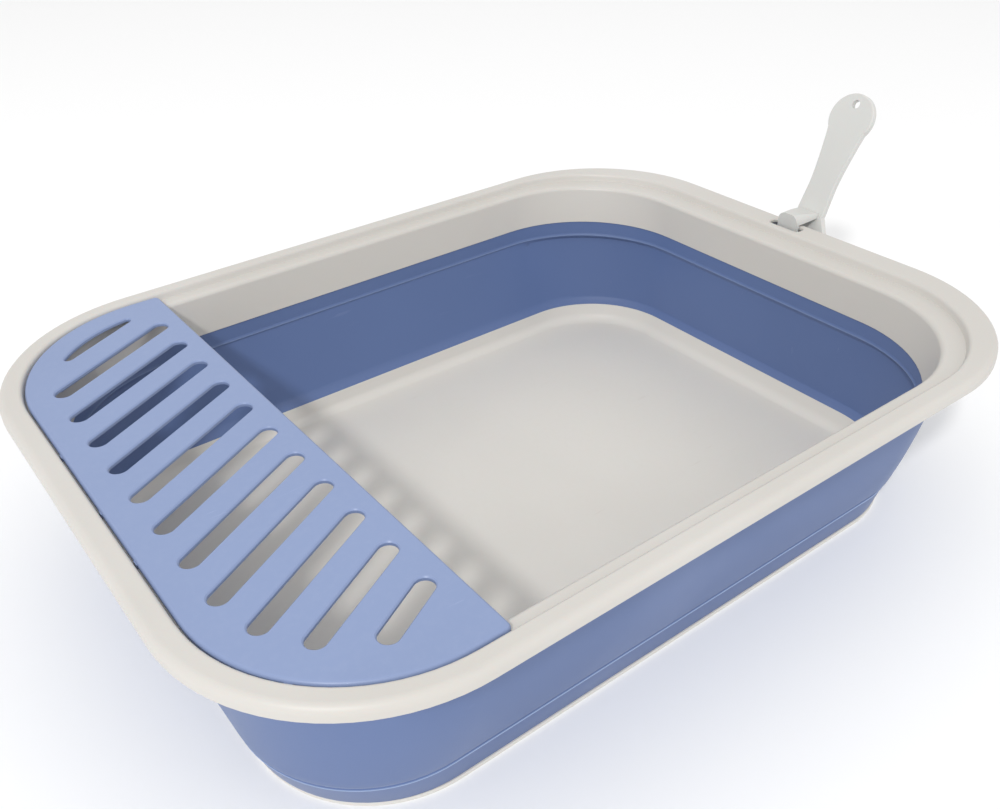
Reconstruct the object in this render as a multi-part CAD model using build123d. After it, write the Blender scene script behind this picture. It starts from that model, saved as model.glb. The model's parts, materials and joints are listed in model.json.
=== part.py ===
from build123d import *
from dataclasses import dataclass, replace
import math
import os

# A collapsible litter tub: a hard rim and a hard base pan joined by a soft folding wall,
# a slotted step plate that drops into the rim, and a scoop that hooks over one end.
# Millimetres. X runs along the tub towards the scoop, Y across it, Z up from the floor.
# The origin is on the floor, under the middle of the rim.

# Plastic walls and gaps shared by several pieces
rim_skin = 2.4
skirt_skin = 2.0
pan_skin = 2.2
wall_skin = 2.0
bond_gap = 0.3
overrun = 1.0

# Rim: outline, heights and edges
rim_length = 500.0
rim_width = 382.0
rim_corner = 96.6
rim_height = 113.2
lip_depth = 7.2
lip_round = 4.2
lip_steps = 5
edge_steps = 3
tub_shift = -4.0
base_shift = -3.2

# Rim: the recess that the step plate drops into, and the ledge at its foot
flange_both_ends = 34.0
flange_both_sides = 23.4
recess_length = rim_length - flange_both_ends
recess_width = rim_width - flange_both_sides
recess_corner = 84.1
recess_depth = 4.8
recess_draft = 0.7
recess_round = 2.0
ledge_both_ends = 28.8
ledge_both_sides = 17.6
opening_length = recess_length - ledge_both_ends
opening_width = recess_width - ledge_both_sides
opening_corner = 77.0
opening_round = 2.6

# Rim: the skirt that hangs into the tub
skirt_foot_z = 82.5
skirt_taper_ends = 1.4
skirt_taper_sides = 5.8
skirt_foot_length = opening_length - skirt_taper_ends
skirt_foot_width = opening_width - skirt_taper_sides
skirt_foot_corner = 83.0

# Rim: stiffening ribs under the flange
flange_rib_thickness = 1.8
flange_rib_pitch = 58.0
side_flange_ribs = 5
end_flange_ribs = 4

# Rim: the slot that takes the scoop's hook
hook_slot_inset = 10.6
hook_slot_x = rim_length / 2 - hook_slot_inset
hook_slot_width = 8.2
hook_slot_length = 24.0
hook_slot_round = 3.0
hook_slot_edge_round = 0.8

# Folding wall: outer outlines from the rim down
wall_root_ends = 9.0
wall_root_sides = 12.2
wall_top_length = opening_length + wall_root_ends
wall_top_width = opening_width + wall_root_sides
wall_top_corner = 85.5
panel_taper_ends = 13.6
panel_taper_sides = 45.8
fold_z = 18.6
fold_length = wall_top_length - panel_taper_ends
fold_width = wall_top_width - panel_taper_sides
fold_corner = 68.6
band_taper_ends = 10.0
band_taper_sides = 6.8
band_foot_z = 2.2
band_foot_length = fold_length - band_taper_ends
band_foot_width = fold_width - band_taper_sides
band_foot_corner = 67.5
fold_step = 1.1
fold_step_height = 0.8
fold_groove_depth = 0.8
fold_groove_drop = 0.9
wall_bow_share = 0.12
wall_panels = 4
band_skin = 1.8
crease_z = 70.0
crease_inset = 0.6

# Base pan
foot_rim = 0.8
foot_length = band_foot_length - foot_rim
foot_width = band_foot_width + 2 * foot_rim
foot_corner = 68.2
foot_height = 2.2
foot_ring_width = 7.0
pan_lip_z = 17.0
pan_cove = 6.0
pan_rib_thickness = 2.0
pan_rib_height = 1.6
pan_ribs_along = 3
pan_ribs_across = 5
centre_foot_diameter = 56.0

# Step plate
plate_gap = 0.6
plate_height = 4.0
plate_skin = 2.2
plate_rim_width = 2.2
plate_edge_round = 1.8
plate_reach = 114.4
plate_inner_edge_x = plate_reach - rim_length / 2
plate_tip_round = 3.0
slot_width = 9.65
slot_tilt = 28.7
slot_count = 12
slot_rows_inset = 76.3
slot_row_pitch = (rim_width - slot_rows_inset) / (slot_count - 1)
slot_field_offset = 8.95
slot_field_inset = 65.0
slot_field_offset_x = slot_field_inset - rim_length / 2
slot_margin_end = 18.1
slot_margin_side = 21.3
slot_margin_inner = 14.5
slot_field_corner = 67.0
sliver_reach = 5.5
sliver_set_in = 1.8
sliver_tip_round = 2.4
slot_edge_bevel = 0.7
plate_rib_thickness = 1.8
plate_rib_depth = 5.0
plate_beam_depth = 8.0
plate_beam_inset = 3.0
lug_width = 3.6
lug_clearance = 0.12
lug_places = (47.7, -7.2, -49.7)
lug_corner_angle = 40.0

# Scoop: handle
handle_overhang = 7.7
handle_foot_x = rim_length / 2 + handle_overhang
handle_foot_z = 106.0
handle_lean = 26.4
handle_thickness = 4.0
handle_skin = 2.0
handle_neck_width = 20.0
handle_foot_width = 21.4
handle_shoulder_width = 28.4
handle_neck_along = 31.0
handle_swell_along = 56.0
handle_swell_width = 24.2
handle_shoulder_along = 70.0
handle_head_along = 77.9
handle_head_radius = 16.5
hang_hole_along = 87.2
hang_hole_diameter = 5.6
hang_hole_boss = 2.2
handle_edge_bevel = 0.7

# Scoop: hook over the rim
hook_width = 15.6
hook_tongue_thickness = 2.8
hook_tongue_clearance = 1.0
hook_rise = 8.0
hook_back_rise = 4.2
hook_reach_down = 14.0
hook_round = 5.5
hook_over_gap = 1.1

# Scoop: slotted blade
blade_lip_gap = 0.8
blade_skin = 2.2
blade_top_z = 97.0
blade_length = 88.0
blade_top_width = 84.0
blade_tip_width = 92.0
blade_depth = 25.0
blade_tip_depth = 7.0
blade_corner = 13.0
blade_top_corner = 20.0
blade_slot_width = 4.6
blade_slot_pitch = 8.8
blade_slot_count = 8
blade_slot_start = 12.0
blade_slot_end = 12.0
blade_slot_corner = 1.3
neck_flare = 15.0
neck_top_z = 114.5


@dataclass(frozen=True)
class Ring:
    """A rounded rectangle lying flat at one height."""

    length: float
    width: float
    corner: float
    z: float
    centre: float = tub_shift

    def grown(self, by):
        return replace(self, length=self.length + 2 * by, width=self.width + 2 * by, corner=self.corner + by)

    def at(self, z):
        return replace(self, z=z)

    def face(self):
        return Pos(self.centre, 0, self.z) * RectangleRounded(self.length, self.width, self.corner)

    def up_to(self, z):
        return extrude(self.face(), z - self.z, dir=(0, 0, 1))


def between(low, high, z):
    """The ring at height z on the straight flank from one ring to another."""
    share = (z - low.z) / (high.z - low.z)
    return blend(low, high, share, z)


def blend(low, high, share, z):
    """A ring part of the way from one ring to another."""
    return Ring(
        low.length + (high.length - low.length) * share,
        low.width + (high.width - low.width) * share,
        low.corner + (high.corner - low.corner) * share,
        z,
        low.centre + (high.centre - low.centre) * share,
    )


def stack(*rings):
    """A solid with straight flanks through rings, from the lowest up."""
    wires = [ring.face().face().outer_wire() for ring in rings]
    return Part(Solid.make_loft(wires, True).wrapped)


# Levels and outlines that several pieces share
lip_foot_z = rim_height - lip_depth
ledge_z = rim_height - recess_depth
ledge_under_z = ledge_z - rim_skin
rim_outer = Ring(rim_length, rim_width, rim_corner, lip_foot_z, 0)
recess = Ring(recess_length, recess_width, recess_corner, ledge_z)
opening_top = Ring(opening_length, opening_width, opening_corner, ledge_z)
opening_foot = Ring(skirt_foot_length, skirt_foot_width, skirt_foot_corner, skirt_foot_z)
skirt_top_outer = between(opening_foot, opening_top, ledge_under_z).grown(skirt_skin)
skirt_foot_outer = opening_foot.grown(skirt_skin)

wall_top = Ring(wall_top_length, wall_top_width, wall_top_corner, ledge_under_z)
fold = Ring(fold_length, fold_width, fold_corner, fold_z, base_shift)
band_foot = Ring(band_foot_length, band_foot_width, band_foot_corner, band_foot_z, base_shift)
foot = Ring(foot_length, foot_width, foot_corner, 0, base_shift)

pan_outer_inset = -(band_skin + bond_gap)
pan_foot_outer = band_foot.grown(pan_outer_inset).at(foot_height)
pan_lip_outer = between(band_foot, fold, pan_lip_z).grown(pan_outer_inset)
pan_floor_z = foot_height + pan_skin


def make_rim():
    """Flange with a hollow lip, the plate's recess and the skirt, moulded as one."""
    rim = stack(*lip_rings())
    rim -= stack(*recess_wall())

    lip_hollow = rim_outer.grown(-rim_skin).at(lip_foot_z).up_to(rim_height - rim_skin)
    lip_hollow -= recess.grown(rim_skin).at(lip_foot_z).up_to(rim_height)
    for rib in flange_ribs():
        lip_hollow -= rib
    rim -= lip_hollow

    rim += stack(skirt_foot_outer, skirt_top_outer)
    rim -= stack(*opening_rings())
    return rim - hook_slot()


def rounding(radius, steps):
    """Insets and drops from a corner's two faces along a quarter round, from its foot up."""
    turns = [math.radians(90 * k / steps) for k in range(steps + 1)]
    return [(radius * (1 - math.cos(turn)), radius * (1 - math.sin(turn))) for turn in turns]


def opening_rings():
    """Outlines of the tub's mouth from the skirt's foot up, its top edge rounded in steps."""
    rings = [opening_foot]
    for inset, drop in rounding(opening_round, edge_steps):
        rings.append(between(opening_foot, opening_top, ledge_z - drop).grown(inset))
    return rings


def lip_rings():
    """Outlines of the flange from its foot up, its top edge rounded in steps."""
    rings = [rim_outer]
    for inset, drop in rounding(lip_round, lip_steps):
        rings.append(rim_outer.grown(-inset).at(rim_height - drop))
    return rings


def recess_wall():
    """Outlines of the plate's recess from the ledge up: a drafted wall with a rounded top edge."""
    wall_top = recess.grown(recess_draft)
    rings = [recess]
    for inset, drop in rounding(recess_round, edge_steps):
        rings.append(wall_top.grown(inset).at(rim_height - drop))
    return rings


def flange_ribs():
    """Cross ribs that stiffen the hollow flange on all four sides."""
    rib_height = 2 * lip_depth
    ribs = []
    for k in range(side_flange_ribs):
        x = (k - (side_flange_ribs - 1) / 2) * flange_rib_pitch
        ribs.append(Pos(x, 0, lip_foot_z) * Box(flange_rib_thickness, rim_width, rib_height))
    for k in range(end_flange_ribs):
        y = (k - (end_flange_ribs - 1) / 2) * flange_rib_pitch
        ribs.append(Pos(0, y, lip_foot_z) * Box(rim_length, flange_rib_thickness, rib_height))
    return ribs


def hook_slot():
    """Cutter for the slot in the end flange, with its upper edges eased."""
    outline = Pos(hook_slot_x, 0, lip_foot_z) * RectangleRounded(
        hook_slot_width, hook_slot_length, hook_slot_round
    )
    cutter = extrude(outline, lip_depth, dir=(0, 0, 1))
    mouth = Pos(hook_slot_x, 0, rim_height) * RectangleRounded(
        hook_slot_width + 2 * hook_slot_edge_round,
        hook_slot_length + 2 * hook_slot_edge_round,
        hook_slot_round + hook_slot_edge_round,
    )
    throat = Pos(hook_slot_x, 0, rim_height - hook_slot_edge_round) * RectangleRounded(
        hook_slot_width, hook_slot_length, hook_slot_round
    )
    flare = Solid.make_loft([throat.face().outer_wire(), mouth.face().outer_wire()], True)
    return cutter + Part(flare.wrapped)


def wall_ring(share):
    """Outer outline of the wall's tall panel, bowed out a little between its ends."""
    z = fold_z + fold_step_height + (ledge_under_z - fold_z - fold_step_height) * share
    bowed = share + wall_bow_share * 4 * share * (1 - share)
    return blend(fold.grown(fold_step), wall_top, bowed, z)


def make_wall():
    """Soft wall: a low band round the pan, a fold, a thin tall panel and a thick top root."""
    panel = [wall_ring(k / wall_panels) for k in range(wall_panels + 1)]
    band_top = between(band_foot, fold, fold_z - fold_groove_drop)
    wall = stack(band_foot, band_top, fold.grown(-fold_groove_depth), *panel)

    pan_side = [pan_foot_outer.grown(bond_gap), pan_lip_outer.grown(bond_gap)]
    throat_foot = pan_lip_outer.grown(-pan_skin)
    throat_top = blend(throat_foot, throat_foot.grown(pan_skin), 1, fold_z)
    skirt_side = [skirt_foot_outer.grown(bond_gap), skirt_top_outer.grown(bond_gap)]
    crease = opening_foot.grown(crease_inset).at(crease_z)
    root_foot = opening_foot.grown(crease_inset)
    share = (crease_z - fold_z) / (ledge_under_z - fold_z)
    panel_inside = [throat_top, *inner_panel(share), crease]

    wall -= stack(*pan_side)
    wall -= stack(throat_foot, throat_top)
    wall -= stack(*panel_inside)
    wall -= stack(crease, root_foot)
    wall -= stack(*skirt_side)
    return wall


def inner_panel(top_share):
    """Inside outlines of the thin panel, up to the share where the crease lies."""
    shares = [top_share * k / wall_panels for k in range(1, wall_panels)]
    return [wall_ring(share).grown(-wall_skin) for share in shares]


def make_pan():
    """Base pan: foot ring, floor, upstand inside the soft band, ribs and a centre foot."""
    pan = foot.up_to(foot_height)
    pan += stack(pan_foot_outer, pan_lip_outer)
    floor_ring = between(pan_foot_outer, pan_lip_outer, pan_floor_z).grown(-pan_skin)
    cove_top = between(pan_foot_outer, pan_lip_outer, pan_floor_z + pan_cove).grown(-pan_skin)
    inside_top = pan_lip_outer.grown(-pan_skin)
    pan -= stack(*cove(floor_ring, cove_top), inside_top)

    underside = foot.grown(-foot_ring_width).up_to(foot_height)
    for rib in pan_ribs():
        underside -= rib
    underside -= Cylinder(centre_foot_diameter / 2, 2 * foot_height)
    return pan - underside


def cove(floor_ring, top_ring):
    """Rings that round the corner between the floor and the upstand."""
    steps = 4
    rings = []
    for k in range(steps + 1):
        turn = math.radians(90 * k / steps)
        inset = pan_cove * (1 - math.sin(turn))
        z = floor_ring.z + pan_cove * (1 - math.cos(turn))
        rings.append(between(floor_ring, top_ring, z).grown(-inset))
    return rings


def pan_ribs():
    """Ribs under the floor, along and across, meeting at the centre foot."""
    ribs = []
    depth = 2 * pan_rib_height
    z = foot_height
    for k in range(pan_ribs_along):
        y = (k - (pan_ribs_along - 1) / 2) * foot_width / (pan_ribs_along + 1)
        ribs.append(Pos(base_shift, y, z) * Box(foot_length, pan_rib_thickness, depth))
    for k in range(pan_ribs_across):
        x = (k - (pan_ribs_across - 1) / 2) * foot_length / (pan_ribs_across + 1)
        ribs.append(Pos(base_shift + x, 0, z) * Box(pan_rib_thickness, foot_width, depth))
    return ribs


def half_plane(ring, limit):
    """The part of a ring's face on the step plate's side of a line across the tub."""
    reach = ring.length
    cut = Pos(limit + reach / 2, 0, ring.z) * Rectangle(reach, 2 * ring.width)
    return ring.face() - cut


def slot_field():
    """The region that the centres of the slots' round ends stay within."""
    plate = recess.grown(-plate_gap)
    low_x = plate.centre - plate.length / 2 + slot_margin_end
    width = plate.width - 2 * slot_margin_side
    return Ring(2 * (plate.centre - low_x), width, slot_field_corner, ledge_z)


def plate_slots():
    """Slot faces: slanted strips with round ends, and a sliver in the far corner."""
    field = slot_field()
    field_face = half_plane(field, plate_inner_edge_x - slot_margin_inner)
    tilt = math.radians(slot_tilt)
    along = Vector(math.cos(tilt), math.sin(tilt), 0)
    slots = []
    for k in range(slot_count - 1):
        middle = Vector(slot_field_offset_x, slot_row(k), ledge_z)
        run = field_face.face() & Line(middle - along * rim_width, middle + along * rim_width)
        ends = run.edges()[0]
        capsule = SlotCenterToCenter(ends.length, slot_width)
        centre = ends @ 0.5
        slots.append(Pos(centre.X, centre.Y, centre.Z) * Rot(0, 0, slot_tilt) * capsule)
    return slots + [sliver(field)]


def slot_row(k):
    """Where slot k crosses the line that the row is set out on."""
    return slot_field_offset + (k - slot_count / 2) * slot_row_pitch


def sliver(field):
    """The last slot: what is left between its straight side and the plate's round corner."""
    outline = field.grown(sliver_reach)
    row = slot_row(slot_count - 1)
    reach = outline.width
    far_side = Rectangle(reach, reach, align=(Align.CENTER, Align.MIN))
    side = sliver_set_in - slot_width / 2
    place = Pos(slot_field_offset_x, row, ledge_z) * Rot(0, 0, slot_tilt) * Pos(0, side)
    face = half_plane(outline, plate_inner_edge_x - sliver_reach) & place * far_side
    core = offset(face, -sliver_tip_round)
    return offset(core, sliver_tip_round, kind=Kind.ARC)


def make_plate():
    """Slotted step plate: a thin skin with a turned-down rim, ribs and locating lugs."""
    outline = recess.grown(-plate_gap)
    top_z = ledge_z + plate_height
    wires = [plate_face(outline).face().outer_wire()]
    for inset, drop in rounding(plate_edge_round, edge_steps):
        wires.append(plate_face(outline.at(top_z - drop), inset).face().outer_wire())
    plate = Part(Solid.make_loft(wires, True).wrapped)
    pocket_face = half_plane(outline.grown(-plate_rim_width), plate_inner_edge_x - plate_rim_width)
    pocket = extrude(pocket_face, plate_height - plate_skin, dir=(0, 0, 1))
    plate -= pocket
    plate += plate_ribs(top_z - plate_skin)
    for slot in plate_slots():
        drop = Pos(0, 0, -plate_beam_depth) * slot
        plate -= extrude(drop, plate_beam_depth + plate_height + overrun, dir=(0, 0, 1))
    top = plate.faces().sort_by(Axis.Z)[-1]
    slot_edges = [e for wire in top.inner_wires() for e in wire.edges()]
    plate = chamfer(slot_edges, slot_edge_bevel)
    for lug in plate_lugs(outline):
        plate += lug
    return plate


def plate_face(outline, inset=0.0):
    """The plate's outline at one height, drawn in from its edge by the inset."""
    face = half_plane(outline.grown(-inset), plate_inner_edge_x - inset)
    tips = face.vertices().group_by(Axis.X)[-1]
    return fillet(tips, plate_tip_round - inset)


def plate_ribs(under_z):
    """Ribs between the slots and a deeper beam along the straight edge."""
    room = opening_top.grown(-plate_beam_inset).at(under_z - plate_beam_depth)
    inside = extrude(half_plane(room, plate_inner_edge_x), plate_beam_depth, dir=(0, 0, 1))
    beam_x = plate_inner_edge_x - plate_rim_width / 2
    beam = Pos(beam_x, 0, under_z) * Box(plate_rim_width, rim_width, 2 * plate_beam_depth)
    ribs = beam
    for k in range(slot_count - 1):
        rib = Box(rim_width, plate_rib_thickness, 2 * plate_rib_depth)
        ribs += Pos(slot_field_offset_x, slot_row(k + 0.5), under_z) * Rot(0, 0, slot_tilt) * rib
    return ribs & inside


def plate_lugs(outline):
    """Small lugs on the plate's edge that centre it in the recess."""
    reach = plate_gap - lug_clearance
    depth = 2 * reach
    height = plate_height - plate_edge_round
    lugs = []
    edge_x = outline.centre - outline.length / 2
    for y in lug_places:
        lugs.append(Pos(edge_x, y, ledge_z + height / 2) * Box(depth, lug_width, height))
    corner_x = edge_x + outline.corner
    corner_y = outline.width / 2 - outline.corner
    for side in (-1, 1):
        turn = 180 + side * lug_corner_angle
        lug = Pos(outline.corner, 0, ledge_z + height / 2) * Box(depth, lug_width, height)
        lugs.append(Pos(corner_x, side * -corner_y, 0) * Rot(0, 0, turn) * lug)
    return lugs


# The handle's front face: X across it, Y along it from the rim upwards, Z out of it
lean = math.radians(handle_lean)
handle_up = Vector(math.sin(lean), 0, math.cos(lean))
handle_front = Vector(-math.cos(lean), 0, math.sin(lean))
handle_plane = Plane(
    origin=(handle_foot_x, 0, handle_foot_z),
    x_dir=handle_up.cross(handle_front),
    z_dir=handle_front,
)
handle_foot_along = (blade_top_z - handle_foot_z) / math.cos(lean)


def handle_x(z):
    """Where the handle's front face stands at height z."""
    return handle_foot_x + (z - handle_foot_z) * math.tan(lean)


def handle_outline(grow):
    """Handle outline in its own plane: a waisted strip that swells into a round head."""
    half = [
        (handle_foot_width / 2 + grow, handle_foot_along),
        (handle_foot_width / 2 + grow, handle_foot_width / 2),
        (handle_neck_width / 2 + grow, handle_neck_along),
        (handle_swell_width / 2 + grow, handle_swell_along),
        (handle_shoulder_width / 2 + grow, handle_shoulder_along),
    ]
    right = Spline(*half[1:], tangents=((0, 1), (handle_shoulder_width - handle_swell_width, handle_neck_width)))
    low = Line(half[0], half[1])
    left = mirror(right, about=Plane.YZ)
    low_left = mirror(low, about=Plane.YZ)
    close_top = Line(right @ 1, left @ 1)
    close_foot = Line(low @ 0, low_left @ 0)
    strip = make_face(Curve() + [low, right, close_top, left, low_left, close_foot])
    head = Pos(0, handle_head_along) * Circle(handle_head_radius + grow)
    return strip + head


def make_scoop():
    """Scoop in one moulding: handle, hook and slotted blade."""
    handle_face = handle_plane * handle_outline(0)
    handle = extrude(handle_face, handle_thickness, dir=handle_front * -1)
    hollow_plane = Plane(
        origin=handle_plane.origin - handle_front * handle_skin,
        x_dir=handle_plane.x_dir,
        z_dir=handle_front,
    )
    hollow_face = hollow_plane * handle_outline(-handle_skin)
    handle -= extrude(hollow_face, handle_thickness, dir=handle_front * -1)
    hole_at = handle_plane * Pos(0, hang_hole_along)
    boss = hole_at * Circle(hang_hole_diameter / 2 + hang_hole_boss)
    handle += extrude(boss, handle_thickness, dir=handle_front * -1)
    front = handle.faces().sort_by(Axis((0, 0, 0), tuple(handle_front)))[-1]
    handle = chamfer(front.edges(), handle_edge_bevel)
    scoop = handle + make_hook() + make_blade()
    hole = hole_at * Circle(hang_hole_diameter / 2)
    scoop -= extrude(hole, 2 * handle_thickness, dir=handle_front, both=True)
    return scoop


def make_hook():
    """Hook block over the rim's edge, with a tongue that drops through the slot."""
    tongue_back_x = hook_slot_x + hook_slot_width / 2 - hook_tongue_clearance
    tongue_front_x = tongue_back_x - hook_tongue_thickness
    under_z = rim_height + hook_over_gap
    front_z = rim_height + hook_rise
    back_z = rim_height + hook_back_rise
    back_x = handle_x(back_z) + handle_skin / 2
    under_back_x = handle_x(under_z) + handle_skin / 2
    profile = Polyline(
        (tongue_front_x, under_z - hook_reach_down),
        (tongue_front_x, front_z),
        (tongue_back_x, front_z),
        (back_x, back_z),
        (under_back_x, under_z),
        (tongue_back_x, under_z),
        (tongue_back_x, under_z - hook_reach_down),
        close=True,
    )
    side = Plane.XZ * make_face(profile)
    hook = extrude(side, hook_width / 2, both=True)
    tops = hook.edges().filter_by(Axis.X).sort_by(Axis.Z)[-2:]
    return fillet(tops, hook_round)


def make_blade():
    """Blade: a tray with slots in its floor, its walls dying away to the tip."""
    back_x = rim_length / 2 + blade_lip_gap
    tip_z = blade_top_z - blade_length
    plane = Plane(origin=(back_x, 0, blade_top_z), x_dir=(0, 1, 0), z_dir=(1, 0, 0))
    outer = plane * blade_outline(0)
    tray = extrude(outer, blade_depth, dir=(1, 0, 0))
    inner_plane = Plane(origin=(back_x + blade_skin, 0, blade_top_z), x_dir=(0, 1, 0), z_dir=(1, 0, 0))
    tray -= extrude(inner_plane * blade_outline(-blade_skin), blade_depth, dir=(1, 0, 0))
    slope = Plane.XZ * make_face(
        Polyline(
            (back_x + blade_depth, blade_top_z - blade_corner),
            (back_x + blade_tip_depth, tip_z),
            (back_x + blade_tip_depth, tip_z - blade_depth),
            (back_x + 2 * blade_depth, tip_z - blade_depth),
            (back_x + 2 * blade_depth, blade_top_z - blade_corner),
            close=True,
        )
    )
    tray -= extrude(slope, blade_tip_width, both=True)
    return tray + blade_neck(back_x)


def blade_outline(grow):
    """Blade outline hanging down from the handle, wider at the tip."""
    top = grow
    tip = -blade_length - grow
    points = [
        (-blade_top_width / 2 - grow, top),
        (blade_top_width / 2 + grow, top),
        (blade_tip_width / 2 + grow, tip),
        (-blade_tip_width / 2 - grow, tip),
    ]
    face = make_face(Polyline(*points, close=True))
    upper = face.vertices().group_by(Axis.Y)[-1]
    face = fillet(upper, blade_top_corner + grow)
    lower = face.vertices().group_by(Axis.Y)[0]
    face = fillet(lower, blade_corner + grow)
    if grow < 0:
        return face
    return face - blade_slots()


def blade_slots():
    """Sifting slots along the blade's floor."""
    length = blade_length - blade_slot_start - blade_slot_end
    slots = Sketch()
    slot = Rectangle(blade_slot_width, length)
    slot = chamfer(slot.vertices(), blade_slot_corner)
    for k in range(blade_slot_count):
        x = (k - (blade_slot_count - 1) / 2) * blade_slot_pitch
        slots += Pos(x, -blade_slot_start - length / 2) * slot
    return slots


def blade_neck(back_x):
    """Flared neck that joins the leaning handle to the top of the upright blade."""
    lower = Plane(origin=(back_x + blade_skin, 0, blade_top_z - blade_skin), z_dir=(0, 0, 1))
    low = lower * Rectangle(2 * blade_skin, handle_foot_width + 2 * neck_flare)
    high_x = handle_x(neck_top_z) + handle_thickness / 2
    high = Pos(high_x, 0, neck_top_z) * Rectangle(handle_thickness, handle_foot_width)
    neck = Solid.make_loft([low.face().outer_wire(), high.face().outer_wire()], True)
    return Part(neck.wrapped)


def main():
    os.makedirs("parts", exist_ok=True)
    pieces = {
        "rim_frame": make_rim(),
        "folding_wall": make_wall(),
        "base_pan": make_pan(),
        "step_plate": make_plate(),
        "scoop": make_scoop(),
    }
    for name, piece in pieces.items():
        box = piece.bounding_box()
        print(name, "solids", len(piece.solids()), "volume", round(piece.volume), box.min, box.max)
        export_step(piece, "parts/" + name + ".step")


main()
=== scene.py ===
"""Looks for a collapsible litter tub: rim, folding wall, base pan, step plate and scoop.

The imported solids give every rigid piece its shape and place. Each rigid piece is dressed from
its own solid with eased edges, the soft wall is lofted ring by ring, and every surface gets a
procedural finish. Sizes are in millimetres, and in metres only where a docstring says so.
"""

from __future__ import annotations

import json
import logging
import math
from dataclasses import dataclass, field, replace
from enum import Enum

import bmesh
import bpy
from mathutils import Matrix, Vector

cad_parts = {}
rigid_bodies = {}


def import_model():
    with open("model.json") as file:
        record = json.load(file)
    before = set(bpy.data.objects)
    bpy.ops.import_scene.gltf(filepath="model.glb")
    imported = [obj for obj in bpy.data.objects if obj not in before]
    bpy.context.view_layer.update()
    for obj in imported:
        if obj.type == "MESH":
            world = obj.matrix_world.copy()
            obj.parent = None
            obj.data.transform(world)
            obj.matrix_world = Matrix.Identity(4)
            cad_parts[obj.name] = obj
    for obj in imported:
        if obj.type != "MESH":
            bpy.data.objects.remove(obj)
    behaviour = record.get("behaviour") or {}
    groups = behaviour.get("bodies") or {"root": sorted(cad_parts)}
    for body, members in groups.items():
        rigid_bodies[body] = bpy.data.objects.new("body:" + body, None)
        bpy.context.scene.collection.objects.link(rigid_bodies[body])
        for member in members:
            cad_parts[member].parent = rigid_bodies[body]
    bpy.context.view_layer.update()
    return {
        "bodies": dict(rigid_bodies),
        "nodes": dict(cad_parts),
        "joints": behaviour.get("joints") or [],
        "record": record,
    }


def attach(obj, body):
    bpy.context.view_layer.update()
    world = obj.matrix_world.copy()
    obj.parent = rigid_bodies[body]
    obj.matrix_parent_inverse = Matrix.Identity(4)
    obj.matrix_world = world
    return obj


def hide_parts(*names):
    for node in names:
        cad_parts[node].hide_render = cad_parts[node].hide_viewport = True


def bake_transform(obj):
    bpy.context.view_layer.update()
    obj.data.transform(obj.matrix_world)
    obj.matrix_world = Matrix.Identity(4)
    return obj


LOG = logging.getLogger("litter_tub")
MM = 0.001
CREASE_HIGHLIGHT_LAYER = "crease"

# A Mix node's colour sockets share their names with its other sockets, so they go by place.
MIX_UNDER = 6
MIX_OVER = 7
MIX_RESULT = 2

# Signs of X and Y at the four corners, counted round from the +X +Y one.
CORNER_SIGNS = ((1, 1), (-1, 1), (-1, -1), (1, -1))

Colour = tuple[float, float, float]
Triple = tuple[float, float, float]
Span = tuple[float, float]
Socket = bpy.types.NodeSocket


class Slot(Enum):
    """Material slots named in the record."""

    RIM = "rim_plastic"
    BASE = "base_plastic"
    WALL = "wall_rubber"
    PLATE = "plate_plastic"
    SCOOP = "scoop_plastic"


class Body(Enum):
    """Rigid bodies that the pieces ride on."""

    BASE = "base"
    RIM = "rim"
    PLATE = "step_plate"
    SCOOP = "scoop"


def opaque(colour: Colour) -> tuple[float, float, float, float]:
    """Add full opacity to a colour."""
    return (*colour, 1.0)


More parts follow.
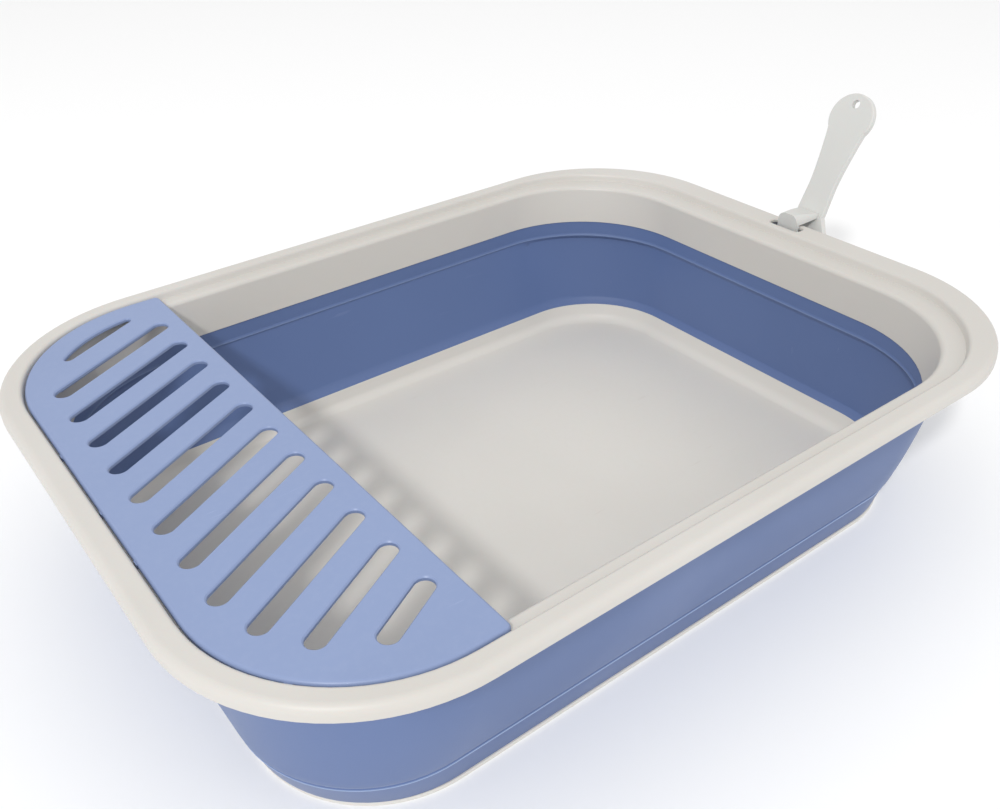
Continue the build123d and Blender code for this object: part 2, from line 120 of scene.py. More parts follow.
class NodeSheet:
    """A node tree with short calls for adding and joining its nodes."""

    def __init__(self, tree: bpy.types.NodeTree) -> None:
        """Start on an empty tree.

        Args:
            tree: The node tree to fill.
        """
        self.tree = tree
        self.tree.nodes.clear()

    def add(self, kind: str, values: dict[str, object] | None = None, **settings: object) -> bpy.types.Node:
        """Add one node.

        Args:
            kind: The node's type name.
            values: Socket names with the values or sockets that feed them.
            **settings: Properties set on the node itself.

        Returns:
            The new node.
        """
        node = self.tree.nodes.new(kind)
        for name, value in settings.items():
            setattr(node, name, value)
        for name, value in (values or {}).items():
            self.feed(node, name, value)
        return node

    def feed(self, node: bpy.types.Node, name: str | int, value: object) -> None:
        """Give a socket a value, or join another node's socket to it.

        Args:
            node: The node that receives the value.
            name: The input socket's name or index.
            value: A plain value or an output socket.
        """
        socket = node.inputs[name]
        if isinstance(value, Socket):
            self.tree.links.new(value, socket)
        else:
            socket.default_value = value

    def combine(self, operation: str, first: object, second: object) -> Socket:
        """Join two numbers by one operation.

        Args:
            operation: The Math node's operation.
            first: A value or an output socket.
            second: A value or an output socket.

        Returns:
            The result's socket.
        """
        node = self.add("ShaderNodeMath", operation=operation)
        self.feed(node, 0, first)
        self.feed(node, 1, second)
        return node.outputs[0]

    def ramp(self, value: object, span: Span, onto: Span = (0.0, 1.0)) -> Socket:
        """Map one range smoothly onto another and hold it at the ends.

        Args:
            value: The socket to map.
            span: Where the change starts and ends.
            onto: The results at its start and end.

        Returns:
            The mapped value's socket.
        """
        values = {
            "Value": value,
            "From Min": span[0],
            "From Max": span[1],
            "To Min": onto[0],
            "To Max": onto[1],
        }
        node = self.add("ShaderNodeMapRange", values, interpolation_type="SMOOTHSTEP")
        return node.outputs["Result"]

    def noise(self, vector: Socket, scale: object, **character: float) -> Socket:
        """Add a grey noise texture.

        Args:
            vector: The place that it is read at.
            scale: A value or an output socket.
            **character: Its other inputs, such as Detail.

        Returns:
            The texture's grey socket.
        """
        values = {"Vector": vector, "Scale": scale, **character}
        return self.add("ShaderNodeTexNoise", values).outputs["Fac"]

    def group(self, tree: bpy.types.NodeTree, output: str, **values: object) -> Socket:
        """Place a shared group.

        Args:
            tree: The group's tree.
            output: The name of the output to read.
            **values: The group's inputs with their values or sockets.

        Returns:
            The output's socket.
        """
        return self.add("ShaderNodeGroup", values, node_tree=tree).outputs[output]

    def mix(self, mask: object, under: object, over: object) -> Socket:
        """Lay one colour over another through a mask.

        Args:
            mask: How much of the upper colour shows.
            under: The lower colour.
            over: The upper colour.

        Returns:
            The mixed colour's socket.
        """
        node = self.add("ShaderNodeMix", {"Factor": mask}, data_type="RGBA")
        self.feed(node, MIX_UNDER, under)
        self.feed(node, MIX_OVER, over)
        return node.outputs[MIX_RESULT]


class GroupSheet(NodeSheet):
    """The inside of a shader group that reads a Vector and some numbers and puts out one number."""

    def __init__(self, name: str, inputs: tuple[str, ...], output: str) -> None:
        """Make an empty group.

        Args:
            name: The group's name.
            inputs: The names of its number inputs.
            output: The name of its output.
        """
        tree = bpy.data.node_groups.new(name, "ShaderNodeTree")
        tree.interface.new_socket(name="Vector", in_out="INPUT", socket_type="NodeSocketVector")
        for label in inputs:
            tree.interface.new_socket(name=label, in_out="INPUT", socket_type="NodeSocketFloat")
        tree.interface.new_socket(name=output, in_out="OUTPUT", socket_type="NodeSocketFloat")
        super().__init__(tree)
        self.entry = self.add("NodeGroupInput")
        self.exit = self.add("NodeGroupOutput")
        self.output = output

    def given(self, label: str) -> Socket:
        """The socket of one of the group's inputs."""
        return self.entry.outputs[label]

    def put_out(self, value: Socket) -> bpy.types.NodeTree:
        """Feed the group's output.

        Args:
            value: The socket that feeds it.

        Returns:
            The finished group.
        """
        self.feed(self.exit, self.output, value)
        return self.tree


@dataclass(frozen=True)
class MouldGrain:
    """Fine spark-eroded mould texture over a broader one, as a height."""

    fine_detail: float = 3.0
    broad_share: float = 0.23
    broad_detail: float = 1.0
    broad_height: float = 0.45

    def build(self) -> bpy.types.NodeTree:
        """Make the group.

        Returns:
            A group from Scale to Height.
        """
        sheet = GroupSheet("mould_grain", ("Scale",), "Height")
        place = sheet.given("Vector")
        fine = sheet.noise(place, sheet.given("Scale"), Detail=self.fine_detail)
        broad_scale = sheet.combine("MULTIPLY", sheet.given("Scale"), self.broad_share)
        broad = sheet.noise(place, broad_scale, Detail=self.broad_detail)
        soft = sheet.combine("MULTIPLY", broad, self.broad_height)
        return sheet.put_out(sheet.combine("ADD", fine, soft))


@dataclass(frozen=True)
class MouldFlow:
    """Slow cloudy change in tone that moulded plastic has, from 0 to 1."""

    detail: float = 2.5
    distortion: float = 0.6
    cloud_span: Span = (0.32, 0.68)

    def build(self) -> bpy.types.NodeTree:
        """Make the group.

        Returns:
            A group from Scale to Mask.
        """
        sheet = GroupSheet("mould_flow", ("Scale",), "Mask")
        character = {"Detail": self.detail, "Distortion": self.distortion}
        cloud = sheet.noise(sheet.given("Vector"), sheet.given("Scale"), **character)
        return sheet.put_out(sheet.ramp(cloud, self.cloud_span))


@dataclass(frozen=True)
class HandlingScuffs:
    """Sparse short scuff marks that come in patches, as a mask."""

    turn: Triple = (0.0, 0.0, 0.6)
    stretch: Triple = (1.0, 9.0, 4.0)
    mark_detail: float = 4.0
    mark_span: Span = (0.66, 0.76)
    patch_scale: float = 11.0
    patch_detail: float = 1.0
    patch_span: Span = (0.5, 0.66)

    def build(self) -> bpy.types.NodeTree:
        """Make the group.

        Returns:
            A group from Scale and Amount to Mask.
        """
        sheet = GroupSheet("handling_scuffs", ("Scale", "Amount"), "Mask")
        place = sheet.given("Vector")
        values = {"Vector": place, "Rotation": self.turn, "Scale": self.stretch}
        drawn_out = sheet.add("ShaderNodeMapping", values).outputs["Vector"]
        lines = sheet.noise(drawn_out, sheet.given("Scale"), Detail=self.mark_detail)
        marks = sheet.ramp(lines, self.mark_span)
        places = sheet.noise(place, self.patch_scale, Detail=self.patch_detail)
        patches = sheet.ramp(places, self.patch_span)
        both = sheet.combine("MULTIPLY", marks, patches)
        return sheet.put_out(sheet.combine("MULTIPLY", both, sheet.given("Amount")))


@dataclass(frozen=True)
class SettledDust:
    """Dust that lies on upward faces, as a mask."""

    upward_span: Span = (0.55, 0.98)
    speck_detail: float = 4.0
    speck_roughness: float = 0.7
    speck_span: Span = (0.42, 0.72)

    def build(self) -> bpy.types.NodeTree:
        """Make the group.

        Returns:
            A group from Scale and Amount to Mask.
        """
        sheet = GroupSheet("settled_dust", ("Scale", "Amount"), "Mask")
        facing = sheet.add("ShaderNodeNewGeometry").outputs["Normal"]
        height = sheet.add("ShaderNodeSeparateXYZ", {"Vector": facing}).outputs["Z"]
        upward = sheet.ramp(height, self.upward_span)
        character = {"Detail": self.speck_detail, "Roughness": self.speck_roughness}
        specks = sheet.noise(sheet.given("Vector"), sheet.given("Scale"), **character)
        laid = sheet.combine("MULTIPLY", upward, sheet.ramp(specks, self.speck_span))
        return sheet.put_out(sheet.combine("MULTIPLY", laid, sheet.given("Amount")))


class SharedEffects:
    """Shader groups that every finish uses, built once."""

    def __init__(self) -> None:
        """Build all the groups."""
        self.grain = MouldGrain().build()
        self.flow = MouldFlow().build()
        self.scuffs = HandlingScuffs().build()
        self.dust = SettledDust().build()


@dataclass(frozen=True)
class SurfaceMasks:
    """Where one material shows its slow tone change, its scuffs and its dust."""

    cloud: Socket
    scuffs: Socket
    dust: Socket


@dataclass(frozen=True)
class MouldedFinish:
    """A moulded plastic or rubber surface with grain, slow tone change, scuffs and dust, and a pale painted
    highlight along the wall's creases.

    Heights and depths are in millimetres, and a scale counts a pattern's features in a metre.
    """

    slot: Slot
    colour: Colour
    cloud_colour: Colour
    scuff_colour: Colour
    dust_colour: Colour
    roughness: float
    roughness_spread: float
    grain_scale: float
    grain_height: float
    grain_strength: float = 0.35
    cloud_scale: float = 6.0
    scuff_scale: float = 40.0
    scuff_amount: float = 0.35
    scuff_roughness: float = 0.18
    dust_scale: float = 260.0
    dust_amount: float = 0.12
    dust_roughness: float = 0.3
    specular: float = 0.5
    sheen: float = 0.0
    scatter: float = 0.0
    scatter_depth: float = 2.0
    crease_highlight_colour: Colour | None = None
    crease_highlight_span: Span = (0.25, 0.95)

    def build(self, effects: SharedEffects) -> bpy.types.Material:
        """Make the material.

        Args:
            effects: The shared shader groups.

        Returns:
            The finished material.
        """
        material = bpy.data.materials.new(self.slot.value)
        material.use_nodes = True
        sheet = NodeSheet(material.node_tree)
        place = sheet.add("ShaderNodeTexCoord").outputs["Object"]
        scuff_values = {"Vector": place, "Scale": self.scuff_scale, "Amount": self.scuff_amount}
        dust_values = {"Vector": place, "Scale": self.dust_scale, "Amount": self.dust_amount}
        masks = SurfaceMasks(
            cloud=sheet.group(effects.flow, "Mask", Vector=place, Scale=self.cloud_scale),
            scuffs=sheet.group(effects.scuffs, "Mask", **scuff_values),
            dust=sheet.group(effects.dust, "Mask", **dust_values),
        )
        shader = sheet.add(
            "ShaderNodeBsdfPrincipled",
            {
                "Base Color": self.tone(sheet, masks),
                "Roughness": self.roughen(sheet, masks),
                "Normal": self.relief(sheet, effects, place),
                "Specular IOR Level": self.specular,
                "Sheen Weight": self.sheen,
                "Subsurface Weight": self.scatter,
                "Subsurface Scale": self.scatter_depth * MM,
            },
        )
        sheet.add("ShaderNodeOutputMaterial", {"Surface": shader.outputs["BSDF"]})
        return material

    def tone(self, sheet: NodeSheet, masks: SurfaceMasks) -> Socket:
        """Lay the colours over one another: tone, scuffs, the pale painted crease highlight, and dust last.

        Args:
            sheet: The material's sheet.
            masks: Where tone change, scuffs and dust show.

        Returns:
            The colour's socket.
        """
        toned = sheet.mix(masks.cloud, opaque(self.colour), opaque(self.cloud_colour))
        worn = sheet.mix(masks.scuffs, toned, opaque(self.scuff_colour))
        # Pale painted highlight along the wall's fold lip and bead, read from the mesh's crease layer.
        if self.crease_highlight_colour:
            highlight_share = sheet.add("ShaderNodeAttribute", attribute_name=CREASE_HIGHLIGHT_LAYER).outputs["Fac"]
            worn = sheet.mix(sheet.ramp(highlight_share, self.crease_highlight_span), worn, opaque(self.crease_highlight_colour))
        return sheet.mix(masks.dust, worn, opaque(self.dust_colour))

    def roughen(self, sheet: NodeSheet, masks: SurfaceMasks) -> Socket:
        """Vary the roughness with the tone and raise it under scuffs and dust.

        Args:
            sheet: The material's sheet.
            masks: Where tone change, scuffs and dust show.

        Returns:
            The roughness's socket.
        """
        spread = (self.roughness - self.roughness_spread, self.roughness + self.roughness_spread)
        plain = sheet.ramp(masks.cloud, (0.0, 1.0), spread)
        scuffed = sheet.combine("ADD", plain, sheet.combine("MULTIPLY", masks.scuffs, self.scuff_roughness))
        return sheet.combine("ADD", scuffed, sheet.combine("MULTIPLY", masks.dust, self.dust_roughness))

    def relief(self, sheet: NodeSheet, effects: SharedEffects, place: Socket) -> Socket:
        """Raise the mould's grain.

        Args:
            sheet: The material's sheet.
            effects: The shared shader groups.
            place: The place on the piece.

        Returns:
            The normal's socket.
        """
        grain = sheet.group(effects.grain, "Height", Vector=place, Scale=self.grain_scale)
        values = {"Height": grain, "Strength": self.grain_strength, "Distance": self.grain_height * MM}
        return sheet.add("ShaderNodeBump", values).outputs["Normal"]


@dataclass(frozen=True)
class Ring:
    """A rounded rectangle lying flat at one height, centred at a distance along X.

    The crease field is the share, from 0 to 1, of the pale painted highlight laid there.
    """

    length: float
    width: float
    corner: float
    z: float
    centre: float
    crease: float = 0.0

    def grown(self, by: float) -> Ring:
        """Move the outline outwards.

        Args:
            by: How far; a negative distance moves it inwards.

        Returns:
            The moved ring.
        """
        length = self.length + 2 * by
        width = self.width + 2 * by
        return replace(self, length=length, width=width, corner=self.corner + by)

    def at(self, z: float) -> Ring:
        """The same ring at another height."""
        return replace(self, z=z)

    def highlighted(self, share: float) -> Ring:
        """The same ring marked with a pale painted highlight, by a share from 0 to 1."""
        return replace(self, crease=share)

    def toward(self, other: Ring, share: float, z: float) -> Ring:
        """A ring part of the way to another.

        Args:
            other: The ring that share 1 gives.
            share: How far along, from 0 to 1.
            z: The new ring's height.

        Returns:
            The ring between them.
        """
        mine = (self.length, self.width, self.corner, self.centre)
        theirs = (other.length, other.width, other.corner, other.centre)
        length, width, corner, centre = (a + (b - a) * share for a, b in zip(mine, theirs))
        return Ring(length, width, corner, z, centre)

    def on_flank(self, top: Ring, z: float) -> Ring:
        """The ring at height z on the straight flank from this ring up to another."""
        return self.toward(top, (z - self.z) / (top.z - self.z), z)

    def corner_middle(self, quarter: int) -> Vector:
        """The middle of a corner's arc.

        Args:
            quarter: The corner's number, counted round from the +X +Y one.

        Returns:
            The middle, as if the ring were centred on the origin.
        """
        x_sign, y_sign = CORNER_SIGNS[quarter % len(CORNER_SIGNS)]
        half_x = self.length / 2 - self.corner
        half_y = self.width / 2 - self.corner
        return Vector((x_sign * half_x, y_sign * half_y, 0))

    def point(self, step: int, per_corner: int, per_side: int) -> Vector:
        """A point on the outline, counted round from the +X end of the +X +Y corner's arc.

        Args:
            step: The point's number.
            per_corner: Steps along each corner arc.
            per_side: Steps along each straight side.

        Returns:
            The point in metres.
        """
        quarter, along = divmod(step, per_corner + per_side)
        turn = math.pi / 2 * (quarter + min(along / per_corner, 1.0))
        middle = self.corner_middle(quarter)
        spot = middle + self.corner * Vector((math.cos(turn), math.sin(turn), 0))
        if along > per_corner:
            spot += (self.corner_middle(quarter + 1) - middle) * ((along - per_corner) / per_side)
        return (spot + Vector((self.centre, 0, self.z))) * MM


def finish_mesh(mesh: bmesh.types.BMesh, name: str) -> bpy.types.Object:
    """Turn a bmesh into an object in the scene.

    Args:
        mesh: The finished bmesh, which is freed.
        name: The object's name.

    Returns:
        The new object, at the origin.
    """
    data = bpy.data.meshes.new(name)
    mesh.to_mesh(data)
    mesh.free()
    piece = bpy.data.objects.new(name, data)
    bpy.context.scene.collection.objects.link(piece)
    return piece


def dress(piece: bpy.types.Object, material: bpy.types.Material) -> None:
    """Give a piece its finish.

    Args:
        piece: The piece.
        material: Its finish.
    """
    piece.data.materials.clear()
    piece.data.materials.append(material)


@dataclass
class RigidPiece:
    """A hard moulding dressed from its own solid, with its sharp edges eased."""

    node: str
    name: str
    body: Body
    slot: Slot
    edge_radius: float
    edge_steps: int = 2
    sharp_angle: float = 32.0
    flat_angle: float = 0.6
    flat_weight: int = 60
    weld: float = 0.004

    def build(self, frame: dict, materials: dict[Slot, bpy.types.Material]) -> bpy.types.Object:
        """Make the piece and put it on its body.

        Args:
            materials: The finishes by slot.

        Returns:
            The finished piece.
        """
        mesh = bmesh.new()
        mesh.from_mesh(frame["nodes"][self.node].data)
        bmesh.ops.remove_doubles(mesh, verts=mesh.verts, dist=self.weld * MM)
        self.merge_flats(mesh)
        piece = finish_mesh(mesh, self.name)
        self.ease_edges(piece)
        dress(piece, materials[self.slot])
        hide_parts(self.node)
        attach(piece, self.body.value)
        return piece

    def merge_flats(self, mesh: bmesh.types.BMesh) -> None:
        """Join the triangles of each flat face, so that only real edges are left.

        Args:
            mesh: The solid's mesh, with its doubles merged.
        """
        bmesh.ops.dissolve_limit(
            mesh,
            angle_limit=math.radians(self.flat_angle),
            use_dissolve_boundaries=False,
            verts=mesh.verts,
            edges=mesh.edges,
            delimit=set(),
        )
        for face in mesh.faces:
            face.smooth = True

    def ease_edges(self, piece: bpy.types.Object) -> None:
        """Round the sharp edges and keep the flats flat in the shading.

        Args:
            piece: The piece that the modifiers are put on.
        """
        bevel = piece.modifiers.new("eased_edges", "BEVEL")
        bevel.width = self.edge_radius * MM
        bevel.segments = self.edge_steps
        bevel.limit_method = "ANGLE"
        bevel.angle_limit = math.radians(self.sharp_angle)
        bevel.harden_normals = False
        normals = piece.modifiers.new("flat_faces", "WEIGHTED_NORMAL")
        normals.keep_sharp = True
        normals.weight = self.flat_weight


@dataclass
class FoldingWall:
    """Soft wall between pan and rim: a low band, a fold, a thin panel, a crease and a thick root.

    Its section is a closed run of rings: up the outside, down round the root, down the panel's
    inside, and from over the pan's edge back to the band's foot.
    """

    name: str = "soft_folding_wall"

    # Outer outlines of the band's foot, the fold and the panel's top.
    band_foot: Ring = Ring(length=422.6, width=300.6, corner=67.5, z=2.2, centre=-3.2)
    fold: Ring = Ring(length=432.6, width=307.4, corner=68.6, z=18.6, centre=-3.2)
    top: Ring = Ring(length=446.2, width=353.2, corner=85.5, z=106.0, centre=-4.0)

    # The rim's opening, whose skirt the root is bonded round.
    opening_top: Ring = Ring(length=437.2, width=341.0, corner=77.0, z=108.4, centre=-4.0)
    opening_foot: Ring = Ring(length=435.8, width=335.2, corner=83.0, z=82.5, centre=-4.0)
    skirt_skin: float = 2.0

    # The pan's upright edge, which the band is bonded round.
    pan_skin: float = 2.2
    pan_lip_z: float = 17.0

    # Thicknesses of the band and the panel, and the gap that stands for a bond.
    band_skin: float = 1.8
    skin: float = 2.0
    bond_gap: float = 0.3

    # The lip under the fold, which gets a pale painted highlight, the groove above it and the step up to
    # the panel.
    band_lip: float = 0.6
    band_lip_foot: float = 0.8
    groove_depth: float = 0.3
    groove_drop: float = 0.9
    fold_step: float = 1.1
    fold_step_height: float = 0.8
    foot_tuck: float = 0.3
    foot_tuck_rise: float = 1.0
    fold_highlight: float = 1.0

    # The inner crease under the root, and the bead along it, whose crest gets a pale painted highlight.
    crease_z: float = 70.0
    crease_inset: float = 0.6
    bead_height: float = 0.8
    bead_half_width: float = 1.5
    bead_highlight: float = 0.55

    # The panel's bow, the steps along it and round each ring, and the easing of its turns.
    bow_share: float = 0.12
    panel_steps: int = 26
    per_corner: int = 22
    per_side: int = 8
    weld: float = 0.01
    turn_angle: float = 24.0
    edge_radius: float = 0.3
    edge_steps: int = 3

    @property
    def panel_foot_z(self) -> float:
        """The height of the panel's foot, at the top of the step."""
        return self.fold.z + self.fold_step_height

    def build(self, materials: dict[Slot, bpy.types.Material]) -> bpy.types.Object:
        """Loft the wall through its rings.

        Args:
            materials: The finishes by slot.

        Returns:
            The finished wall.
        """
        mesh = self.loft(self.profile())
        self.ease(mesh)
        wall = finish_mesh(mesh, self.name)
        dress(wall, materials[Slot.WALL])
        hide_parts("folding_wall")
        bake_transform(wall)
        return wall

    def profile(self) -> list[Ring]:
        """All the rings of the section, in order."""
        return [*self.band_side(), *self.outer_side(), *self.root(), *self.inner_side(), *self.collar()]

    def band_side(self) -> list[Ring]:
        """The band's outside, with the lip, the groove and the step at the fold.

        Returns:
            The rings from the band's foot up to the panel.
        """
        band_top = self.band_foot.on_flank(self.fold, self.fold.z - self.groove_drop)
        return [
            self.band_foot,
            self.band_foot.on_flank(self.fold, band_top.z - self.band_lip_foot),
            # The lip's ring carries the pale painted highlight of the fold line.
            band_top.grown(self.band_lip).highlighted(self.fold_highlight),
            self.fold.grown(-self.groove_depth),
            self.fold.grown(-self.foot_tuck).at(self.panel_foot_z),
            self.fold.grown(self.fold_step - self.foot_tuck).at(self.panel_foot_z + self.foot_tuck_rise),
        ]

    def outer_panel(self, share: float) -> Ring:
        """The panel's outer outline, bowed out a little between the fold and the top.

        Args:
            share: How far up the panel, from 0 to 1.

        Returns:
            The ring at that share.
        """
        z = self.panel_foot_z + (self.top.z - self.panel_foot_z) * share
        # The bow is a parabola: nothing at either end, and bow_share half way up.
        bowed = share + self.bow_share * 4 * share * (1 - share)
        return self.fold.grown(self.fold_step).toward(self.top, bowed, z)

    def outer_side(self) -> list[Ring]:
        """The panel's outside, from above the step up to the top."""
        return [self.outer_panel(step / self.panel_steps) for step in range(1, self.panel_steps + 1)]

    def root(self) -> list[Ring]:
        """The thick root round the rim's skirt, with the bead along the crease at its foot.

        Returns:
            The rings from the panel's top down to the crease.
        """
        bond = self.skirt_skin + self.bond_gap
        foot = self.opening_foot.grown(self.crease_inset)
        bead_z = self.crease_z + self.bead_half_width
        return [
            self.opening_foot.on_flank(self.opening_top, self.top.z).grown(bond),
            self.opening_foot.grown(bond),
            foot,
            foot.at(self.crease_z + 2 * self.bead_half_width),
            # The bead's crest carries a pale painted highlight.
            foot.grown(-self.bead_height).at(bead_z).highlighted(self.bead_highlight),
            foot.at(self.crease_z),
        ]

    def inner_side(self) -> list[Ring]:
        """The panel's inside under the crease.

        Returns:
            The rings from the crease down.
        """
        crease_share = (self.crease_z - self.fold.z) / (self.top.z - self.fold.z)
        shares = [crease_share * step / self.panel_steps for step in range(self.panel_steps - 1, 0, -1)]
        return [self.outer_panel(share).grown(-self.skin) for share in shares]

    def collar(self) -> list[Ring]:
        """The collar over the pan's upright edge, and the band's inside.

        Returns:
            The rings from above the pan's edge down to the band's foot.
        """
        to_pan = -(self.band_skin + self.bond_gap)
        pan_lip = self.band_foot.on_flank(self.fold, self.pan_lip_z).grown(to_pan)
        return [
            pan_lip.at(self.fold.z),
            pan_lip.grown(-self.pan_skin),
            pan_lip.grown(self.bond_gap),
            self.band_foot.grown(to_pan).grown(self.bond_gap),
        ]

    def loft(self, rings: list[Ring]) -> bmesh.types.BMesh:
        """Draw a loop of edges out from ring to ring and close the section on its first ring.

        Args:
            rings: The section's rings, in order.

        Returns:
            The closed shell, with its faces pointing outwards.
        """
        mesh = bmesh.new()
        steps = len(CORNER_SIGNS) * (self.per_corner + self.per_side)
        bmesh.ops.create_circle(mesh, segments=steps, radius=1.0)
        mesh.verts.ensure_lookup_table()
        order = mesh.verts.layers.int.new("order")
        # Each vertex's share of pale painted highlight.
        crease = mesh.verts.layers.float.new(CREASE_HIGHLIGHT_LAYER)
        for step, vert in enumerate(mesh.verts):
            vert[order] = step
        self.lay(list(mesh.verts), rings[0], order, crease)
        edges = list(mesh.edges)
        for ring in [*rings[1:], rings[0]]:
            made = bmesh.ops.extrude_edge_only(mesh, edges=edges)["geom"]
            loop = [item for item in made if isinstance(item, bmesh.types.BMVert)]
            edges = [item for item in made if isinstance(item, bmesh.types.BMEdge)]
            self.lay(loop, ring, order, crease)
        bmesh.ops.remove_doubles(mesh, verts=mesh.verts, dist=self.weld * MM)
        bmesh.ops.recalc_face_normals(mesh, faces=mesh.faces)
        return mesh

    def lay(
        self,
        loop: list[bmesh.types.BMVert],
        ring: Ring,
        order: bmesh.types.BMLayerItem,
        crease: bmesh.types.BMLayerItem,
    ) -> None:
        """Put one loop of vertices on a ring and mark its share of painted highlight.

        Args:
            loop: The loop's vertices.
            ring: The ring they go on.
            order: The layer that holds each vertex's place in the loop.
            crease: The layer that holds how much pale painted highlight each vertex gets.
        """
        for vert in loop:
            vert.co = ring.point(vert[order], self.per_corner, self.per_side)
            vert[crease] = ring.crease

    def ease(self, mesh: bmesh.types.BMesh) -> None:
        """Round the section's turns and shade the wall smooth.

        Args:
            mesh: The lofted shell.
        """
        limit = math.radians(self.turn_angle)
        turns = [edge for edge in mesh.edges if edge.is_manifold and edge.calc_face_angle(0.0) > limit]
        bmesh.ops.bevel(
            mesh,
            geom=turns,
            offset=self.edge_radius * MM,
            offset_type="OFFSET",
            affect="EDGES",
            segments=self.edge_steps,
            profile=0.5,
            material=-1,
            clamp_overlap=True,
        )
        for face in mesh.faces:
            face.smooth = True


@dataclass(frozen=True)
class SoftLight:
    """A round soft light that faces a target, in metres and watts."""

    name: str
    place: Triple
    size: float
    power: float

    def build(self, target: Vector) -> None:
        """Hang the light.

        Args:
            target: The point that it faces.
        """
        data = bpy.data.lights.new(self.name, "AREA")
        data.shape = "DISK"
        data.size = self.size
        data.energy = self.power
        light = bpy.data.objects.new(self.name, data)
        bpy.context.scene.collection.objects.link(light)
        light.location = self.place
        light.rotation_euler = (target - Vector(self.place)).to_track_quat("-Z", "Y").to_euler()


@dataclass
class Studio:
    """Pale floor, soft lights and even surroundings, in metres.

    The key light is small and far off, so that the step plate throws its shadow on the far wall.
    """

    floor_size: float = 120.0
    floor_colour: Colour = (0.96, 0.96, 0.96)
    floor_roughness: float = 0.9
    world_colour: Colour = (1.0, 1.0, 1.0)
    world_strength: float = 0.85
    target: Triple = (0.0, 0.0, 0.06)
    lights: tuple[SoftLight, ...] = (
        SoftLight("overhead", place=(-0.05, 0.4, 1.9), size=1.6, power=1.0),
        SoftLight("key_left", place=(-2.166, -1.65, 2.577), size=0.32, power=52.0),
        SoftLight("fill_right", place=(0.9, -1.5, 0.9), size=1.2, power=2.0),
    )

    def build(self) -> None:
        """Make the floor, the world and the lights."""
        self.make_floor()
        self.make_world()
        for light in self.lights:
            light.build(Vector(self.target))

    def make_floor(self) -> None:
        """Lay a plain floor."""
        mesh = bmesh.new()
        bmesh.ops.create_grid(mesh, x_segments=1, y_segments=1, size=self.floor_size / 2)
        floor = finish_mesh(mesh, "floor")
        material = bpy.data.materials.new("pale_floor")
        material.use_nodes = True
        sheet = NodeSheet(material.node_tree)
        values = {"Base Color": opaque(self.floor_colour), "Roughness": self.floor_roughness}
        shader = sheet.add("ShaderNodeBsdfPrincipled", values)
        sheet.add("ShaderNodeOutputMaterial", {"Surface": shader.outputs["BSDF"]})
        floor.data.materials.append(material)

    def make_world(self) -> None:
        """Light the room evenly with a near-white surround and show colours as they are."""
        bpy.context.scene.view_settings.view_transform = "Standard"
        world = bpy.data.worlds.new("surround")
        world.use_nodes = True
        sheet = NodeSheet(world.node_tree)
        values = {"Color": opaque(self.world_colour), "Strength": self.world_strength}
        sky = sheet.add("ShaderNodeBackground", values)
        sheet.add("ShaderNodeOutputWorld", {"Surface": sky.outputs["Background"]})
        bpy.context.scene.world = world


@dataclass
class PhotoCamera:
    """Camera at the photograph's angle, with its turns in radians."""

    yaw: float = 0.6366
    pitch: float = 0.5796
    roll: float = -0.0274
    distance: float = 618.6229
    target: Triple = (1.3293, 11.6866, 60.0)
    focal_pixels: float = 1028.2304
    image_width: int = 1000
    sensor: float = 36.0
    nearest: float = 10.0

    def build(self) -> bpy.types.Object:
        """Make the camera and make it the scene's own.

        Returns:
            The camera object.
        """
        data = bpy.data.cameras.new("photo_camera")
        data.sensor_fit = "HORIZONTAL"
        data.sensor_width = self.sensor
        data.lens = self.focal_pixels * self.sensor / self.image_width
        data.clip_start = self.nearest * MM
        camera = bpy.data.objects.new("photo_camera", data)
        bpy.context.scene.collection.objects.link(camera)
        camera.matrix_world = self.placing()
        bpy.context.scene.camera = camera
        return camera

    def placing(self) -> Matrix:
        """Where the camera stands and how it is turned.

        Returns:
            The camera's matrix, in metres.
        """
        reach = math.cos(self.pitch)
        ahead = Vector((math.sin(self.yaw) * reach, math.cos(self.yaw) * reach, -math.sin(self.pitch)))
        level = Vector((math.cos(self.yaw), -math.sin(self.yaw), 0.0))
        upright = level.cross(ahead)
        right = math.cos(self.roll) * level + math.sin(self.roll) * upright
        up = -math.sin(self.roll) * level + math.cos(self.roll) * upright
        turn = Matrix((right, up, -ahead)).transposed().to_4x4()
        place = (Vector(self.target) - ahead * self.distance) * MM
        return Matrix.Translation(place) @ turn


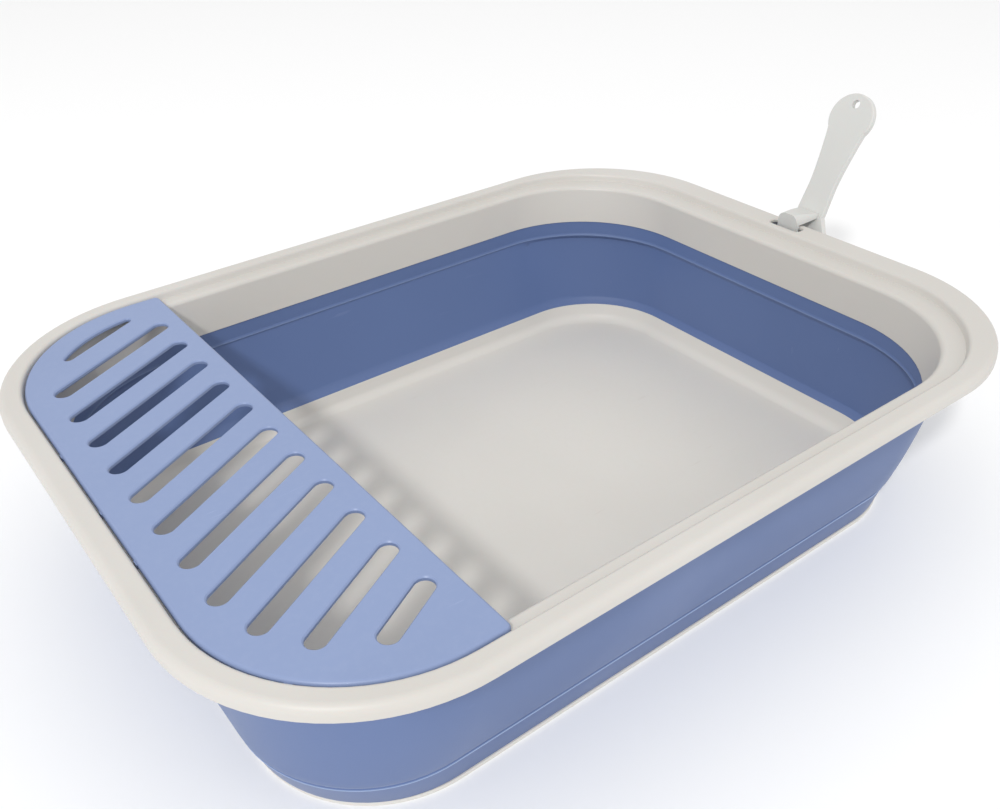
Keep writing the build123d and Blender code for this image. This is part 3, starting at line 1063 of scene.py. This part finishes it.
RIM_FINISH = MouldedFinish(
    slot=Slot.RIM,
    colour=(0.62, 0.598, 0.564),
    cloud_colour=(0.59, 0.567, 0.53),
    scuff_colour=(0.60, 0.56, 0.50),
    dust_colour=(0.66, 0.62, 0.55),
    roughness=0.42,
    roughness_spread=0.04,
    grain_scale=1400.0,
    grain_height=0.06,
    scatter=0.05,
)
BASE_FINISH = replace(
    RIM_FINISH,
    slot=Slot.BASE,
    colour=(0.70, 0.675, 0.63),
    cloud_colour=(0.67, 0.645, 0.60),
)
SCOOP_FINISH = replace(
    RIM_FINISH,
    slot=Slot.SCOOP,
    colour=(0.64, 0.64, 0.617),
    cloud_colour=(0.617, 0.617, 0.593),
)
PLATE_FINISH = MouldedFinish(
    slot=Slot.PLATE,
    colour=(0.245, 0.316, 0.518),
    cloud_colour=(0.234, 0.302, 0.496),
    scuff_colour=(0.44, 0.52, 0.74),
    dust_colour=(0.45, 0.50, 0.66),
    roughness=0.40,
    roughness_spread=0.04,
    grain_scale=1400.0,
    grain_height=0.06,
    scuff_amount=0.22,
    dust_amount=0.05,
)
WALL_FINISH = MouldedFinish(
    slot=Slot.WALL,
    colour=(0.103, 0.161, 0.34),
    cloud_colour=(0.095, 0.149, 0.316),
    scuff_colour=(0.22, 0.28, 0.48),
    dust_colour=(0.28, 0.31, 0.42),
    roughness=0.48,
    roughness_spread=0.06,
    grain_scale=1100.0,
    grain_height=0.08,
    scuff_amount=0.18,
    sheen=0.05,
    # Pale blue of the painted highlight along the fold lip and the bead.
    crease_highlight_colour=(0.34, 0.43, 0.63),
)


@dataclass
class LitterTub:
    """The whole product, built piece by piece."""

    rigid: tuple[RigidPiece, ...] = (
        RigidPiece("rim_frame", "rim_moulding", Body.RIM, Slot.RIM, edge_radius=0.5),
        RigidPiece("base_pan", "base_pan_moulding", Body.BASE, Slot.BASE, edge_radius=0.4),
        RigidPiece("step_plate", "slotted_step_plate", Body.PLATE, Slot.PLATE, edge_radius=0.4),
        RigidPiece("scoop", "hooked_scoop", Body.SCOOP, Slot.SCOOP, edge_radius=0.4),
    )
    wall: FoldingWall = field(default_factory=FoldingWall)
    finishes: tuple[MouldedFinish, ...] = (RIM_FINISH, BASE_FINISH, PLATE_FINISH, WALL_FINISH, SCOOP_FINISH)

    def build(self, frame: dict) -> list[bpy.types.Object]:
        """Build every piece.


        Returns:
            The finished pieces.
        """
        effects = SharedEffects()
        materials = {finish.slot: finish.build(effects) for finish in self.finishes}
        pieces = [part.build(frame, materials) for part in self.rigid]
        pieces.append(self.wall.build(materials))
        return pieces


def main() -> None:
    """Build the scene in order and report each piece."""
    logging.basicConfig(level=logging.INFO, format="%(message)s")
    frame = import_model()
    PhotoCamera().build()
    Studio().build()
    for piece in LitterTub().build(frame):
        LOG.info("built %s with %d faces", piece.name, len(piece.data.polygons))


if __name__ == "__main__":
    main()
